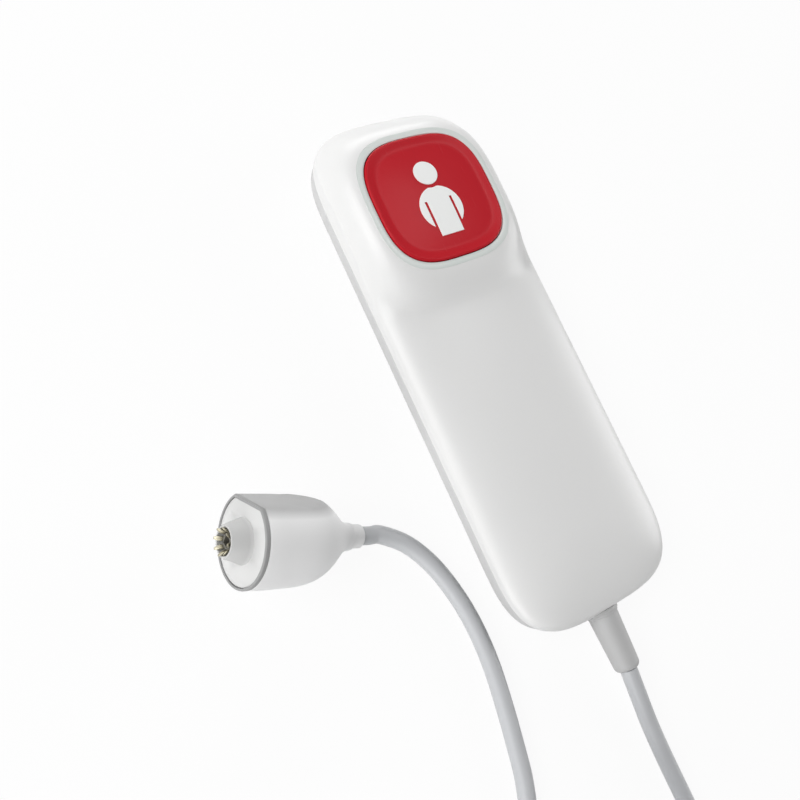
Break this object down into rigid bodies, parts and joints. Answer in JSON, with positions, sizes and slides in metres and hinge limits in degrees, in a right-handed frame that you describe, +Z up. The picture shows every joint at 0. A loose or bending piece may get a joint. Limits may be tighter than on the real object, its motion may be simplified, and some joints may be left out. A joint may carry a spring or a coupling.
{
  "type": "nurse call handset",
  "caption": "White hand-held nurse call unit with a raised head, a large red sprung call button in a light ring, strain relief, grey cord and a bell-shaped plug with a tapered contact nose.",
  "frame": {"origin": "centre of the handset's footprint on the surface it lies on, at the flat back", "axes": "+Y along the handset towards the call button, +X to its right seen from the front, +Z up out of the button face"},
  "size_m": [0.0916, 0.2202, 0.0209],
  "materials": {
    "white_shell": "satin moulded",
    "grey_shell": "satin moulded",
    "dark_seal": "matt",
    "ring_clear": "translucent satin",
    "red_button": "satin moulded",
    "white_figure": "satin",
    "silicone": "matt",
    "board": "satin",
    "black_plastic": "matt",
    "ivory_plastic": "matt",
    "lead_white": "satin",
    "lead_brown": "satin",
    "lead_green": "satin",
    "lead_yellow": "satin",
    "steel": "plain",
    "grey_plastic": "matt",
    "grey_rubber": "satin",
    "cord_jacket": "satin",
    "tie_band": "woven hook band",
    "plug_white": "satin moulded",
    "plug_face": "satin moulded",
    "plug_grey": "satin",
    "lamp_clear": "clear",
    "contact_brass": "dull plated"
  },
  "bodies": {
    "housing": {"front_shell": "white_shell", "rear_shell": "grey_shell", "case_seal": "dark_seal", "light_ring": "ring_clear", "button_dome": "silicone", "circuit_board": "board", "switch_body": "black_plastic", "led_1": "lamp_clear", "led_2": "lamp_clear", "led_3": "lamp_clear", "led_4": "lamp_clear", "driver_chip": "black_plastic", "resistor_1": "black_plastic", "resistor_2": "black_plastic", "resistor_3": "black_plastic", "resistor_4": "black_plastic", "wire_header": "ivory_plastic", "lead_1": "lead_white", "lead_2": "lead_brown", "lead_3": "lead_green", "lead_4": "lead_yellow", "board_screws": "steel", "case_screws": "steel", "cable_clamp": "grey_plastic", "clamp_screws": "steel", "strain_relief": "grey_rubber", "inner_cord": "cord_jacket", "handset_cord": "cord_jacket", "cord_coil": "cord_jacket", "plug_cord": "cord_jacket", "coil_tie_1": "tie_band", "coil_tie_2": "tie_band", "plug_shell": "plug_white", "plug_rim": "plug_grey", "plug_insert": "plug_face", "nose_core": "black_plastic", "contact_1": "contact_brass", "contact_2": "contact_brass", "contact_3": "contact_brass", "contact_4": "contact_brass", "contact_5": "contact_brass", "contact_6": "contact_brass", "contact_7": "contact_brass", "contact_8": "contact_brass", "plug_collar": "plug_white", "plug_cord_end": "cord_jacket", "plug_crimp": "steel"},
    "button": {"button_cap": "red_button", "button_symbol": "white_figure"},
    "plunger": {"switch_plunger": "ivory_plastic"}
  },
  "joints": [
    {"name": "button_press", "type": "slide", "parent": "housing", "child": "button", "axis": [0, 0, -1], "range_m": [0, 0.001], "stiffness_N_per_m": 2500, "springref_m": -0.0004, "deforming": ["button_dome"]},
    {"name": "plunger_press", "type": "slide", "parent": "housing", "child": "plunger", "axis": [0, 0, -1], "range_m": [0, 0.0012]}
  ],
  "couplings": [
    {"joint": "plunger_press", "follows": "button_press", "ratio": 1}
  ]
}
